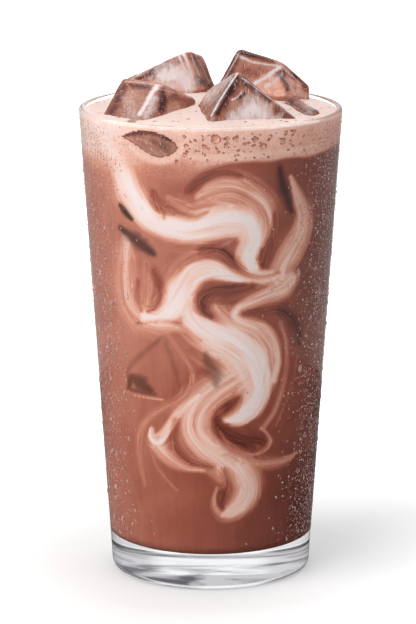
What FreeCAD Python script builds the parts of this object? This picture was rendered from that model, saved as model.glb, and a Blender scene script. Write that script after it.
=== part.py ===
import FreeCAD, Part
import math
import os

# Iced cocoa in a tall tapered tumbler with a thick punted base: a body of drink, a layer of
# foam on it and five half-melted blocks of ice that stand out of the foam.
# Millimetres, +Z up, origin on the table at the middle of the foot.

# --- Tumbler -----------------------------------------------------------------------------
HEIGHT = 150.0          # table to the top of the lip
RIM_RADIUS = 41.7       # outer radius of the cone at the top of the lip
FOOT_RADIUS = 31.7      # outer radius that the same cone would have on the table
RIM_WALL = 1.9          # wall at the lip, which is a full round
FOOT_WALL = 3.2         # wall where it leaves the inner floor
FLOOR = 11.5            # table to the inner floor, the thick base
INNER_CORNER = 3.2      # fillet between inner floor and wall
HEEL = 2.6              # fillet between the wall and the underside
FOOT_RING = 1.9         # width of the flat ring that the tumbler stands on
PUNT = 1.9              # depth of the hollow under the base
PUNT_LEAD = 1.6         # width of the slope from the ring into the punt

# --- Drink -------------------------------------------------------------------------------
FREEBOARD = 1.2         # lip above the foam where the foam meets the wall
FOAM_RISE = 2.4         # foam in the middle above the foam at the wall
FOAM_DEPTH = 9.8        # foam at the wall
SAG_RADIUS = 20.0       # ball that shapes the lobe of foam sunk lowest into the drink
SAG_DEPTH = 6.0         # lobe below the rest of the foam
SAG_BEARING = -21.0     # lobe's bearing from the front, degrees, to the left
SAG_INSET = 5.0         # ball's centre inward of the wall

# --- Ice ---------------------------------------------------------------------------------
# A block is a hexahedron with ruled sides. Its upper and lower faces are each a corner and
# the two edges that leave it. Heights are above the foam at the wall.
ICE_ROUNDING = 1.8      # melted edges of a full block
SLIVER_ROUNDING = 1.3   # melted edges of the thin pieces
TRIM_ABOVE_LIP = 60.0   # ice is kept inside the tumbler's cone up to this far above the lip
FRONT_RIGHT = (((8.4, -24.2, 16.9), (24.0, 3.0, -19.8), (-9.4, 20.6, -9.2)),
               ((-2.2, -30.4, -1.5), (23.4, 3.4, -19.2), (-9.6, 20.6, -8.8)))
BACK_RIGHT = (((22.9, 9.0, 14.8), (-15.8, 2.0, 4.6), (10.2, 12.0, -11.2)),
              ((24.0, 5.0, -11.8), (-29.5, 3.5, 8.2), (10.4, 13.0, -5.4)))
BACK_LEFT = (((-6.0, 24.0, 16.4), (-22.6, 0.0, -10.2), (3.4, 11.0, -3.7)),
             ((-4.2, 21.0, -5.8), (-22.0, -1.0, -6.0), (12.4, 12.0, -3.0)))
SMALL_RIGHT = (((30.3, -18.5, 1.0), (2.8, 7.2, 0.2), (-7.1, 20.8, 1.0)),
               ((32.8, -16.8, -5.6), (1.9, 6.4, 0.0), (-7.1, 20.8, 0.5)))

# The front left block leans on the wall: its corners are measured from the point of the
# inner wall at LEAN_BEARING and foam level, with X and Y as above. Its shoulder is the low
# part that lies flat against the glass.
LEAN_BEARING = -35.0
FRONT_LEFT = (((8.0, 20.6, 10.2), (-13.8, 8.0, 1.1), (12.6, 11.0, -7.7)),
              ((-3.2, -5.5, -7.3), (-11.5, 24.0, 2.5), (16.0, 4.0, -3.0)))
SHOULDER = (((-6.5, -0.5, 0.8), (20.0, -10.0, -3.6), (5.0, 12.0, 0.5)),
            ((-5.2, 0.5, -4.8), (19.0, -10.0, -6.0), (5.0, 12.0, -2.0)))

AXIS = FreeCAD.Vector(0, 0, 1)
CENTRE = FreeCAD.Vector(0, 0, 0)


def on_profile(radius, height):
    """Point of a profile in the XZ half plane."""
    return FreeCAD.Vector(radius, 0, height)


def outer_radius(height):
    return FOOT_RADIUS + (RIM_RADIUS - FOOT_RADIUS) * height / HEIGHT


def inner_radius(height):
    up = (height - FLOOR) / (HEIGHT - FLOOR)
    wall = FOOT_WALL + (RIM_WALL - FOOT_WALL) * up
    return outer_radius(height) - wall


def foam_level():
    """Height of the foam where it meets the wall."""
    return HEIGHT - FREEBOARD


def revolved(edges):
    """Solid of revolution of a closed profile in the XZ half plane."""
    face = Part.Face(Part.Wire(edges))
    solid = face.revolve(CENTRE, AXIS, 360)
    if solid.Volume < 0:
        solid.reverse()
    return solid


def line(start, end):
    return Part.LineSegment(start, end).toShape()


def arc(start, middle, end):
    return Part.Arc(start, middle, end).toShape()


def dome_arc(edge, rise):
    """Arc from an edge up to the axis, with its centre on the axis."""
    radius = (edge.x ** 2 + rise ** 2) / (2 * rise)
    half_way = edge.x / 2
    drop = radius - math.sqrt(radius ** 2 - half_way ** 2)
    top = edge.z + rise
    return arc(edge, on_profile(half_way, top - drop), on_profile(0, top))


def corner_arc(before, corner, after, radius):
    """Start, middle and end of a fillet of this radius at a corner of a profile."""
    back = (before - corner).normalize()
    ahead = (after - corner).normalize()
    half = back.getAngle(ahead) / 2
    run = radius / math.tan(half)
    inward = (back + ahead).normalize()
    centre = corner + inward * (radius / math.sin(half))
    return corner + back * run, centre - inward * radius, corner + ahead * run


def cavity(top, rise=0.0):
    """Inside of the tumbler from its floor to a height, with a top that rises to the axis."""
    floor_axis = on_profile(0, FLOOR)
    floor_corner = on_profile(inner_radius(FLOOR), FLOOR)
    top_wall = on_profile(inner_radius(top), top)
    start, middle, end = corner_arc(floor_axis, floor_corner, top_wall, INNER_CORNER)
    edges = [line(floor_axis, start), arc(start, middle, end), line(end, top_wall)]
    top_axis = on_profile(0, top + rise)
    if rise:
        edges.append(dome_arc(top_wall, rise))
    else:
        edges.append(line(top_wall, top_axis))
    edges.append(line(top_axis, floor_axis))
    return revolved(edges)


def tumbler():
    lip = RIM_WALL / 2
    lip_height = HEIGHT - lip
    outer_lip = on_profile(outer_radius(lip_height), lip_height)
    inner_lip = on_profile(inner_radius(lip_height), lip_height)
    lip_top = on_profile((outer_lip.x + inner_lip.x) / 2, HEIGHT)
    floor_axis = on_profile(0, FLOOR)
    floor_corner = on_profile(inner_radius(FLOOR), FLOOR)
    floor_start, floor_middle, floor_end = corner_arc(
        floor_axis, floor_corner, inner_lip, INNER_CORNER)
    foot_corner = on_profile(FOOT_RADIUS, 0)
    ring_start, heel_middle, heel_end = corner_arc(CENTRE, foot_corner, outer_lip, HEEL)
    ring_end = on_profile(ring_start.x - FOOT_RING, 0)
    punt_edge = on_profile(ring_end.x - PUNT_LEAD, PUNT / 2)
    punt_top = on_profile(0, PUNT)
    edges = [
        line(floor_axis, floor_start),
        arc(floor_start, floor_middle, floor_end),
        line(floor_end, inner_lip),
        arc(inner_lip, lip_top, outer_lip),
        line(outer_lip, heel_end),
        arc(heel_end, heel_middle, ring_start),
        line(ring_start, ring_end),
        line(ring_end, punt_edge),
        dome_arc(punt_edge, PUNT - punt_edge.z),
        line(punt_top, floor_axis),
    ]
    return revolved(edges)


def wall_point(bearing, height):
    """Point of the inner wall, with bearings from the front and positive to the right."""
    turn = math.radians(bearing)
    radius = inner_radius(height)
    return FreeCAD.Vector(radius * math.sin(turn), -radius * math.cos(turn), height)


def quad(corner, along, across, origin):
    """Closed wire of a parallelogram from its corner and the two edges that leave it."""
    start = origin + FreeCAD.Vector(*corner)
    u = FreeCAD.Vector(*along)
    v = FreeCAD.Vector(*across)
    return Part.makePolygon([start, start + u, start + u + v, start + v, start])


def block(faces, rounding, origin):
    """Block of ice between its upper and lower faces, melted round at every edge."""
    upper, lower = faces
    solid = Part.makeLoft([quad(*lower, origin), quad(*upper, origin)], True, True)
    if solid.Volume < 0:
        solid.reverse()
    return solid.makeFillet(rounding, solid.Edges)


def ice():
    """Every block, trimmed to the inside of the tumbler and to the blocks before it."""
    afloat = FreeCAD.Vector(0, 0, foam_level())
    leaning = wall_point(LEAN_BEARING, foam_level())
    main = block(FRONT_LEFT, ICE_ROUNDING, leaning)
    shoulder = block(SHOULDER, SLIVER_ROUNDING, leaning)
    blocks = {
        "ice_front_right": block(FRONT_RIGHT, ICE_ROUNDING, afloat),
        "ice_back_right": block(BACK_RIGHT, ICE_ROUNDING, afloat),
        "ice_back_left": block(BACK_LEFT, ICE_ROUNDING, afloat),
        "ice_small_right": block(SMALL_RIGHT, SLIVER_ROUNDING, afloat),
        "ice_front_left": main.fuse(shoulder),
    }
    inside = cavity(HEIGHT + TRIM_ABOVE_LIP)
    placed = {}
    for name, solid in blocks.items():
        trimmed = solid.common(inside)
        for other in placed.values():
            trimmed = trimmed.cut(other)
        placed[name] = largest(trimmed)
    return placed


def largest(shape):
    return max(shape.Solids, key=lambda solid: solid.Volume)


def sag():
    """Ball whose foot is the lobe of foam that hangs lowest into the drink."""
    underside = foam_level() - FOAM_DEPTH
    centre = wall_point(SAG_BEARING, underside)
    inward = FreeCAD.Vector(-centre.x, -centre.y, 0).normalize()
    centre = centre + inward * SAG_INSET + AXIS * (SAG_RADIUS - SAG_DEPTH)
    return Part.makeSphere(SAG_RADIUS, centre)


def drink(blocks):
    """Cocoa and the foam on it, both cut round the ice."""
    contents = cavity(foam_level(), FOAM_RISE)
    below = cavity(foam_level() - FOAM_DEPTH).cut(sag())
    foam = contents.cut(below)
    cocoa = below
    for solid in blocks.values():
        foam = foam.cut(solid)
        cocoa = cocoa.cut(solid)
    return {"cocoa": largest(cocoa), "foam": largest(foam)}


def main():
    os.makedirs("parts", exist_ok=True)
    nodes = {"glass": tumbler()}
    blocks = ice()
    nodes.update(drink(blocks))
    nodes.update(blocks)
    for name, solid in nodes.items():
        solid.exportStep(f"parts/{name}.step")


main()
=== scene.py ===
"""Iced cocoa in a tall tapered tumbler: the looks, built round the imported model."""
import math

import bmesh
import bpy
import numpy as np
from bpy.props import FloatProperty, FloatVectorProperty, IntProperty, PointerProperty
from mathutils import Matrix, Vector


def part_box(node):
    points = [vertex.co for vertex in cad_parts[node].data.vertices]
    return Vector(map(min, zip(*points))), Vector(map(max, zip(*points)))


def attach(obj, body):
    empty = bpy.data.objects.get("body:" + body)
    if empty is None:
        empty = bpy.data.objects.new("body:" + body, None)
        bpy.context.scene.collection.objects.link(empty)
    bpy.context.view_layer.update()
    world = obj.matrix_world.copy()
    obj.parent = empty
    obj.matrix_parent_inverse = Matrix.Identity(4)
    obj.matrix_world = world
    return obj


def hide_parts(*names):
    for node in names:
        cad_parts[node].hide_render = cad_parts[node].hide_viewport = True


bl_info = {
    "name": "Iced cocoa",
    "version": (1, 0, 0),
    "blender": (4, 5, 0),
    "location": "View3D > Sidebar > Iced cocoa",
    "description": "Builds a tumbler of iced cocoa with foam, ice and dew",
    "category": "Add Mesh",
}

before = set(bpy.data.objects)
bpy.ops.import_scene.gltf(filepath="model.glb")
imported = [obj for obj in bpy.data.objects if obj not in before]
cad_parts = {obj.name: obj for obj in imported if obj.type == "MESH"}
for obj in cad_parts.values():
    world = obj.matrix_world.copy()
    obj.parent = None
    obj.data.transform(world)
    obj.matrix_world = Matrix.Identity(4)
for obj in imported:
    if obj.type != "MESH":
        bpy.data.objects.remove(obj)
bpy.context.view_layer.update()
MM = 0.001
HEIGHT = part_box("glass")[1].z / MM
ICE_NODES = ("ice_front_left", "ice_front_right", "ice_back_left", "ice_back_right",
             "ice_small_right")
RAISED_ICE = {"ice_small_right": 0.8}    # ice drawn larger than its solid, mm

GLASS_BEND = 1.5                         # refractive index of the glass
CLEAR = (0.97, 0.98, 0.985)
WHITE = (1.0, 1.0, 1.0)
MILK_GLOW = (1.0, 0.5, 0.35)             # how far red, green and blue pass through milk
SEAM_ANGLE = math.radians(50)            # sharper edges than this aren't shaded smooth

# Radii in mm that turn a bearing into a distance along the wall: low down at the drink, half
# way, and up at the foam.
DRINK_ARC = 37
WALL_ARC = 38
FOAM_ARC = 39

# The fixed point in front of the glass from which marks are laid on the ice: m from the axis,
# m above the table, and the slope down from it. The marks stay put when the camera moves.
FRONT_DISTANCE = 1.0
FRONT_HEIGHT = 0.3112
FRONT_SLOPE = math.radians(12.84)

LIP_STEPS = 16
RUN_STEPS = 8                            # points on each span of a run
NEAR_RUN = 14                            # how far above and below a run its milk may reach, mm
NOISE_CELLS = 24
CELL = 2                                 # mm, a drop's neighbours are looked for this near
WALL_BUBBLE_COUNT = 70
TOP_BUBBLE_COUNT = 150
FLOOR_GAP = 0.00005                      # m, between the foot, the table and the mat
DRAPE_RADIUS = 0.24                      # m
DRAPE_HEIGHT = 0.44
MAT_RADIUS = 0.245

# Lamps: name, place and aim in m, size in m and power in W.
LAMPS = (("key", (-0.85, -0.7, 0.9), (0, 0, 0.09), 1.1, 14.0),
         ("fill", (0.9, -0.6, 0.6), (0, 0, 0.09), 0.8, 3.0),
         ("top", (0.15, 0.45, 1.1), (0, 0, 0.12), 0.7, 3.0))

# Fine dew: name, number of drops, bearing and spread in radians.
MISTS = (("dew_left", 2300, -1.18, 0.20), ("dew_right", 2500, 1.20, 0.21),
         ("dew_back", 1500, math.pi - 0.3, 0.9))

# Milk laid against the wall, as it is seen from the front: how strong it is, how soft its two
# edges are (left and right of its run), and its run as (across, height, half width) in mm.
MILK_RUNS = (
    # the plume that falls on the left and sweeps across the glass
    (0.55, 0.9, 0.9, ((-31, 146, 2), (-30, 140, 3.5), (-29, 133, 3.5), (-28, 127, 2.5))),
    (0.97, 0.5, 0.55, ((-27, 139, 2.2), (-26, 133, 3.4), (-24, 127, 3.8), (-20, 121.5, 3.6),
        (-14, 118.6, 3.4), (-7, 118, 4.0), (0, 119.4, 4.6), (6, 120.4, 4.8), (11, 119, 4.2),
        (13, 114, 3.6), (11.5, 109, 3.2), (12.5, 105, 2.8), (16, 102.3, 1.9), (20, 102, 1.4))),
    (0.62, 0.5, 0.8, ((-3, 128, 1.5), (1, 129.5, 3.6), (6, 130, 4.4), (11, 128, 4.4),
        (15.5, 124, 3.6), (17.3, 118, 2.6), (16, 113, 2.2), (14.5, 108, 1.6))),
    (0.5, 0.8, 0.6, ((-13, 127.5, 0.8), (-9, 125.5, 1.4), (-5, 124, 1.5), (-1, 125, 1.0))),
    # the greyer plume on the right
    (0.62, 0.7, 0.5, ((24.5, 133, 0.6), (26.5, 127, 1.8), (28.5, 121, 2.8), (28, 115, 4.0),
        (25.5, 110, 4.6), (22.5, 105, 4.0), (21.5, 101, 3.4))),
    (0.7, 0.5, 0.6, ((25, 100, 2.4), (22, 97.5, 3.0), (16, 95.5, 2.4), (11, 93.8, 1.7),
        (7.8, 91.8, 1.3), (7.6, 89.5, 1.3), (11, 87.3, 1.6), (16, 85, 1.8), (19.3, 80, 1.8),
        (20.6, 74, 1.5), (19.6, 68, 1.2))),
    # the arch in the middle
    (0.93, 0.45, 0.6, ((17, 101.2, 0.5), (11, 101.6, 1.2), (6, 103, 2.2), (0, 105.2, 3.2),
        (-5, 103.6, 3.8), (-8.5, 99, 4.2), (-11.5, 94, 4.4), (-15.5, 90, 3.6), (-20, 88.4, 2.4))),
    (0.60, 0.5, 0.9, ((-26, 113, 1.6), (-26.4, 105, 3.6), (-26.4, 98, 4.4), (-25.4, 92, 4.4),
        (-22, 88, 3.4), (-17, 86.4, 2.6), (-12, 86.8, 1.9), (-7, 86.6, 1.6), (-3, 83.6, 0.9))),
    (0.45, 0.8, 0.8, ((-20, 106, 1.0), (-19.5, 100, 1.8), (-20, 94, 1.8), (-21, 89, 1.4))),
    # the broad fall below it
    (0.95, 0.35, 0.7, ((-6.5, 96, 1.6), (-6.3, 91, 2.4), (-3.4, 87, 3.4), (1.6, 83.4, 4.8),
        (7, 80, 6.2), (11.5, 75.5, 6.8), (14, 70, 5.4), (14.6, 65, 4.2), (12.4, 60, 3.6),
        (8.6, 57.4, 2.6), (5, 56.8, 1.4))),
    (0.55, 0.6, 0.6, ((2, 93, 1.4), (5, 89.5, 2.0), (9, 87, 2.6), (14, 84, 2.8),
        (17.6, 79, 2.6), (18.6, 73, 2.2), (17.8, 67, 1.8))),
    (0.72, 0.5, 0.7, ((10, 71, 3.0), (4, 67.6, 3.8), (-1.5, 63.4, 4.2), (-5, 58, 4.4),
        (-5, 52.4, 4.0), (-1.6, 47.6, 4.2), (3.4, 43.4, 4.6), (8.4, 39, 5.0), (11, 33.6, 4.6),
        (9.4, 29, 3.8), (6, 25.8, 2.4), (4, 25, 1.0))),
    (0.8, 0.3, 0.5, ((-4, 64.6, 0.8), (-9, 59.6, 1.1), (-12, 55, 1.3), (-14.4, 51, 1.5),
        (-16.6, 48.6, 2.0), (-18.4, 49.6, 1.4), (-18.6, 52, 0.8))),
    (0.62, 0.6, 0.9, ((-17.4, 48.6, 1.8), (-15.4, 45.4, 2.0), (-12, 42.6, 1.7),
        (-7.6, 40.4, 0.9), (-2, 39.8, 0.5))),
    # wisps
    (0.42, 0.5, 0.8, ((-5.6, 71, 0.8), (-6.4, 67.6, 0.9), (-9.4, 63.4, 0.9), (-15, 59.6, 0.9),
        (-19, 56, 1.0), (-21.6, 51.6, 1.2), (-22.6, 46, 1.2), (-22, 39, 1.0), (-20.6, 33, 0.6))),
    (0.4, 0.5, 0.5, ((-13.6, 84.4, 0.5), (-11, 80.6, 0.6), (-8.6, 77, 0.7), (-6, 72.6, 0.7),
        (-5.4, 68, 0.6))),
    (0.45, 0.5, 0.5, ((-9, 57, 0.4), (-9.8, 51.6, 0.6), (-8.8, 47.4, 0.6), (-6, 44, 0.6),
        (-2, 42, 0.4))),
    (0.4, 0.4, 0.6, ((-11.6, 51.6, 0.4), (-12, 47.6, 0.5), (-10.4, 44, 0.5), (-7, 41.8, 0.3))),
    (0.4, 0.5, 0.7, ((-18.8, 44.6, 0.3), (-16.6, 39.6, 0.4), (-13.8, 36, 0.4),
        (-10.4, 32.6, 0.3))),
    (0.5, 0.5, 0.7, ((3, 52.4, 0.4), (5.6, 48.4, 0.5), (9.6, 45.4, 0.6), (13.6, 44.4, 0.5),
        (17, 45.4, 0.7), (18.6, 48, 0.8), (17.4, 51, 0.5), (15.4, 53, 0.3))),
    (0.46, 0.7, 0.7, ((10, 44.6, 0.5), (14, 41.6, 1.2), (19, 40.6, 1.6), (24, 40.8, 1.2),
        (27, 42, 0.6))),
    (0.4, 0.6, 0.8, ((21.6, 86.6, 0.6), (23.4, 80, 0.8), (23.6, 72, 0.9), (22.4, 65, 0.9),
        (20, 58, 0.9), (16.6, 53, 0.8))),
    (0.34, 0.6, 0.6, ((27, 74, 0.4), (25.6, 66, 0.5), (23.4, 60, 0.5), (20.6, 53, 0.4))),
    (0.5, 0.5, 0.8, ((2, 34, 0.4), (1, 30.4, 0.6), (1.6, 27, 0.9), (4, 24.6, 1.3),
        (7, 24.8, 1.4), (10, 27, 1.0))),
    (0.35, 0.9, 0.9, ((-10, 112, 0.8), (-4, 113, 1.2), (1, 112.8, 1.0))),
)

# Cocoa that cuts back into the milk, given the same way.
COCOA_RUNS = (
    (0.75, 0.6, 0.8, ((-6.4, 130, 0.7), (-3.6, 132.6, 0.9), (0.4, 135, 0.9), (5, 135.6, 0.8),
        (9, 134.6, 0.5))),
    (0.55, 0.5, 0.8, ((-17.4, 129, 0.6), (-16.4, 126, 1.0), (-15, 123, 0.9),
        (-14.2, 121, 0.4))),
    (0.5, 0.6, 0.8, ((-13, 124.6, 0.4), (-9, 122.6, 0.7), (-4.6, 121.8, 0.7),
        (-1, 123.4, 0.3))),
    (0.7, 0.4, 0.6, ((19.6, 122, 0.4), (19.3, 118, 0.6), (17.6, 113, 0.7), (15.8, 109, 0.8),
        (15.8, 105, 0.5))),
    (0.55, 0.8, 0.9, ((18.6, 113, 0.8), (17, 108.6, 1.7), (16.4, 105.4, 1.0))),
    (0.8, 0.5, 0.7, ((21, 102.8, 0.3), (16, 101.8, 0.6), (11, 103.4, 0.9), (6.4, 108, 1.2),
        (2.4, 111.4, 1.0), (-3, 111.6, 0.6))),
    (0.85, 0.5, 0.8, ((12.6, 99.4, 0.7), (7, 98.8, 1.6), (1, 98.4, 1.8), (-3, 95.6, 1.6),
        (-2.4, 92, 1.2), (0, 90, 0.5))),
    (0.65, 0.6, 0.6, ((10.6, 90.6, 0.7), (16, 91.2, 1.0), (22, 91.4, 1.4), (26, 87, 1.6),
        (27.6, 81, 1.2))),
    (0.5, 0.5, 0.6, ((-23, 86, 0.3), (-17, 87.6, 0.4), (-12, 88, 0.4), (-8, 86.4, 0.4),
        (-3, 82.6, 0.3))),
    (0.7, 0.5, 0.6, ((-17.6, 104, 0.5), (-15.4, 98, 1.0), (-17, 92.4, 1.2),
        (-19.4, 90.4, 0.5))),
    (0.6, 0.5, 0.6, ((-22.4, 100, 0.4), (-22.8, 94, 0.6), (-21.4, 90.4, 0.3))),
    (0.8, 0.3, 0.6, ((8.2, 62.6, 0.8), (6.4, 61, 1.2), (4, 59, 1.2), (1.8, 56.6, 0.6))),
    (0.8, 0.3, 0.9, ((2.2, 55.4, 0.6), (4, 52.6, 1.4), (8, 50, 2.2), (12.4, 48.4, 2.2),
        (15.4, 48, 1.4))),
    (0.6, 0.5, 0.6, ((-11, 56, 0.6), (-11.4, 50, 0.8), (-9.4, 45.6, 0.9), (-5, 42.6, 0.7),
        (0.6, 41, 0.5))),
    (0.75, 0.4, 0.6, ((4.4, 40, 0.6), (5.6, 36, 1.2), (4.6, 31.6, 1.2), (3.6, 28.6, 0.7))),
)

# Painted shade on the wall where ice sunk in the drink leans on it, no ice being built there: how
# dark it looks, its softness, and its run.
SUNK_ICE_SHADE = (
    (0.95, 0.5, ((-28, 123.4, 0.7), (-26.4, 121.6, 1.3), (-24.4, 119.6, 0.9))),
    (0.85, 0.7, ((-28, 116.0, 0.9), (-24.4, 113.8, 1.9), (-20.6, 111.4, 2.1),
        (-17.6, 109.4, 1.2))),
    (0.9, 0.9, ((21.2, 136, 1.0), (22, 131, 1.4), (23.4, 126.4, 1.4), (24.8, 122, 0.8))),
    (0.68, 0.6, ((-25.6, 64.6, 0.8), (-24.6, 67.6, 1.8), (-21.6, 66.4, 2.6),
        (-18.6, 64.6, 1.2))),
    (0.55, 0.35, ((-26.2, 64, 0.6), (-22, 63.9, 0.8), (-17.2, 63.7, 0.6))),
    (0.35, 0.9, ((-26, 69.6, 0.8), (-23.6, 73.6, 0.9), (-19, 78.6, 0.8), (-15, 82.6, 0.5))),
    (0.28, 0.9, ((-14.4, 82.4, 0.5), (-12.6, 77, 0.8), (-10.6, 71, 0.7), (-9.6, 67, 0.4))),
    (0.55, 0.8, ((-1.6, 78, 0.8), (-0.4, 74.6, 1.9), (1.6, 71.2, 2.2), (1.6, 68, 1.0))),
    (0.6, 1.0, ((21, 90.6, 0.8), (25, 87.6, 1.2), (27.4, 82.6, 1.1), (27.8, 78, 0.6))),
)

# Light on the foam's side, as run above: foam rolled round the leaning ice, a light run on the
# left and one across; then the lit rim of the sunk block, on the cocoa.
FOAM_RUNS = (
    (0.86, 0.9, ((-24.6, 142.4, 0.5), (-21.4, 140.2, 0.9), (-17.4, 138.9, 1.1),
                 (-12.8, 139.4, 1.0), (-9.4, 141.8, 0.8), (-8.6, 144.4, 0.5))),
    (0.95, 0.9, ((-36, 148, 1.0), (-32.6, 143.6, 1.8), (-30, 138.6, 2.4), (-27.4, 134, 2.2))),
    (0.82, 0.9, ((-6, 140.6, 0.8), (2, 140.4, 1.0), (12, 140.8, 1.0), (22, 141.2, 0.8),
                 (34, 141.6, 0.5))),
)
LIT_RIM = (
    (0.62, 0.6, ((-27, 62.8, 0.3), (-22, 62.3, 0.42), (-17, 62.2, 0.42), (-14, 62.6, 0.25))),)

# Bubbles behind the glass: across and height as seen from the front, and radius, in mm.
WALL_BUBBLES = (
    (1.5, 146.2, 1.35), (5.0, 146.4, 0.55), (7.7, 146.2, 0.8), (13.5, 145.8, 0.85),
    (16.0, 143.5, 0.85), (22.0, 144.5, 0.95), (23.0, 147.0, 0.5), (25.5, 147.3, 0.55),
    (-7.5, 144.0, 0.5), (-2.0, 143.8, 0.55), (4.5, 144.0, 0.45), (-8.0, 141.2, 0.45),
    (10.2, 144.6, 0.35), (-4.6, 145.8, 0.4), (18.6, 146.4, 0.35), (28.6, 145.2, 0.45),
    (2.4, 142.2, 0.35), (-10.4, 138.9, 0.4), (31.0, 146.6, 0.3), (8.4, 142.6, 0.3))

# Outline of the part of the leaning ice that lies bare against the glass, as seen.
BARE_ICE = ((-27.4, 145.3), (-23.8, 147.4), (-20.0, 148.1), (-15.4, 147.6), (-12.4, 146.2),
            (-10.6, 144.8), (-10.0, 143.2), (-11.0, 141.6), (-13.0, 140.5), (-15.8, 140.0),
            (-19.0, 140.8), (-22.2, 142.9), (-25.0, 144.4))

# Marks on the ice, laid from the fixed point in front: white clouds and cracks, with two painted
# highlight lines on the leaning block, then painted shade in dark hollows and on darker faces.
# Each has its strength, its half width, and its run as (across, up) from the slope down from that
# point, in mm at one metre.
FROST = {
    "ice_back_left": (
        (0.95, 3.0, ((-14.6, 73.6), (-12.0, 74.4), (-9.4, 73.4), (-7.6, 71.4))),
        (0.55, 2.2, ((-16.6, 71.6), (-12.6, 71.2), (-8.0, 70.6))),
        (0.8, 0.5, ((-8.4, 80.6), (-7.0, 77.6), (-6.0, 74.6), (-5.4, 71.6))),
        (0.75, 0.35, ((-10.4, 80.9), (-9.2, 78.4), (-8.2, 75.4))),
        (0.6, 0.3, ((-6.0, 80.0), (-4.8, 76.8), (-3.4, 73.6))),
        (0.5, 0.3, ((-25.4, 72.4), (-19.0, 75.9), (-12.6, 79.2), (-8.6, 80.7))),
        (0.35, 0.25, ((-3.8, 78.6), (-2.2, 75.4), (-0.4, 71.6)))),
    "ice_front_left": (
        (1.0, 0.75, ((-16.9, 70.3), (-18.2, 68.4), (-19.5, 66.2), (-21.0, 63.6), (-22.2, 62.0))),
        (0.5, 1.6, ((-17.6, 66.6), (-18.6, 63.6), (-20.0, 61.4))),
        (0.3, 2.8, ((-26.0, 66.8), (-25.4, 63.6), (-24.0, 61.4))),
        (0.55, 0.25, ((-26.6, 72.0), (-21.6, 71.5), (-16.0, 70.8))),
        (0.4, 0.25, ((-15.8, 69.4), (-10.6, 68.4), (-5.2, 66.6))),
        # Painted highlights: a white line and a light lower edge on the part bare against the
        # glass.
        (0.30, 0.32, ((-25.6, 54.6), (-21.0, 54.0), (-17.5, 52.2), (-14.5, 49.6))),
        (0.30, 0.4, ((-26.6, 52.8), (-19.4, 49.0), (-15.6, 47.8)))),
    "ice_front_right": (
        (0.9, 3.4, ((10.4, 62.0), (13.6, 63.6), (16.4, 61.6))),
        (0.7, 2.6, ((7.4, 60.4), (13.0, 60.0), (20.0, 59.6))),
        (0.45, 2.0, ((11.0, 66.6), (14.6, 65.8), (18.2, 63.6))),
        (0.85, 0.28, ((8.3, 74.4), (5.6, 70.4), (3.0, 66.2), (0.2, 61.2))),
        (0.8, 0.3, ((9.6, 68.6), (8.2, 66.8), (6.6, 66.2))),
        (0.6, 0.22, ((10.0, 73.0), (15.6, 68.8), (21.6, 64.4), (26.4, 60.6))),
        (0.5, 2.2, ((-0.6, 67.4), (2.2, 70.4), (5.4, 73.0)))),
    "ice_back_right": (
        (0.95, 0.6, ((13.6, 71.2), (16.6, 72.8), (19.4, 75.0), (21.6, 76.4))),
        (0.8, 0.35, ((9.4, 79.6), (13.0, 78.0), (17.6, 77.2), (21.0, 76.8))),
        (0.55, 0.9, ((17.0, 70.2), (20.0, 71.8), (21.8, 74.0))),
        (0.5, 0.3, ((8.6, 80.2), (7.0, 77.4), (5.0, 73.8), (3.2, 70.8))),
        (0.5, 0.3, ((22.4, 76.6), (25.2, 73.8), (28.4, 71.0))),
        (0.45, 0.6, ((23.4, 73.0), (25.0, 70.4), (26.4, 68.0))),
        (0.35, 1.2, ((27.6, 69.0), (29.4, 67.0)))),
    "ice_small_right": (
        (0.3, 0.25, ((22.6, 65.8), (26.0, 64.0), (30.2, 61.6))),),
}
SHADE = {
    "ice_back_left": (
        (0.55, 1.6, ((-24.6, 71.4), (-20.6, 73.0), (-17.4, 75.4))),
        (0.75, 1.6, ((-3.6, 72.4), (-1.6, 71.2), (0.0, 70.0))),
        (0.55, 1.5, ((-5.4, 79.0), (-3.0, 76.0), (-1.0, 73.0))),
        (0.45, 1.8, ((-22.0, 71.4), (-17.6, 73.6), (-13.6, 76.6)))),
    "ice_front_left": (
        (0.7, 1.5, ((-26.8, 70.4), (-28.2, 67.4), (-30.0, 64.0), (-31.2, 62.4))),
        (0.7, 0.9, ((-25.0, 70.8), (-22.4, 70.4), (-19.4, 70.2))),
        (0.85, 1.1, ((-15.2, 68.6), (-14.8, 66.0), (-15.2, 63.4))),
        (0.55, 1.5, ((-11.0, 67.2), (-7.6, 66.0), (-5.0, 65.2))),
        (0.7, 0.7, ((-27.2, 54.8), (-23.3, 56.1), (-18.0, 55.9), (-12.4, 53.9))),
        (0.45, 1.5, ((-17.4, 53.4), (-13.4, 51.2)))),
    "ice_front_right": (
        (0.85, 1.5, ((7.8, 72.6), (6.0, 69.4), (4.2, 66.0), (2.0, 62.2))),
        (0.9, 0.7, ((8.8, 67.0), (10.4, 67.8))),
        (0.6, 1.1, ((10.4, 72.4), (13.6, 69.4), (18.4, 66.0))),
        (0.5, 1.6, ((20.4, 63.4), (23.4, 61.6), (25.6, 60.4)))),
    "ice_back_right": (
        (0.85, 0.8, ((9.4, 81.2), (14.0, 80.0), (19.4, 78.2))),
        (0.7, 1.5, ((7.6, 78.4), (6.2, 75.2), (5.0, 72.4))),
        (0.45, 1.8, ((11.0, 74.8), (14.4, 74.6))),
        (1.0, 1.0, ((22.0, 74.4), (23.2, 71.8), (24.0, 69.6))),
        (0.7, 0.9, ((25.6, 74.2), (28.4, 71.8), (30.2, 69.0)))),
    "ice_small_right": (
        (0.55, 2.6, ((24.0, 64.8), (27.0, 63.4), (30.0, 61.8))),),
}

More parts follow.
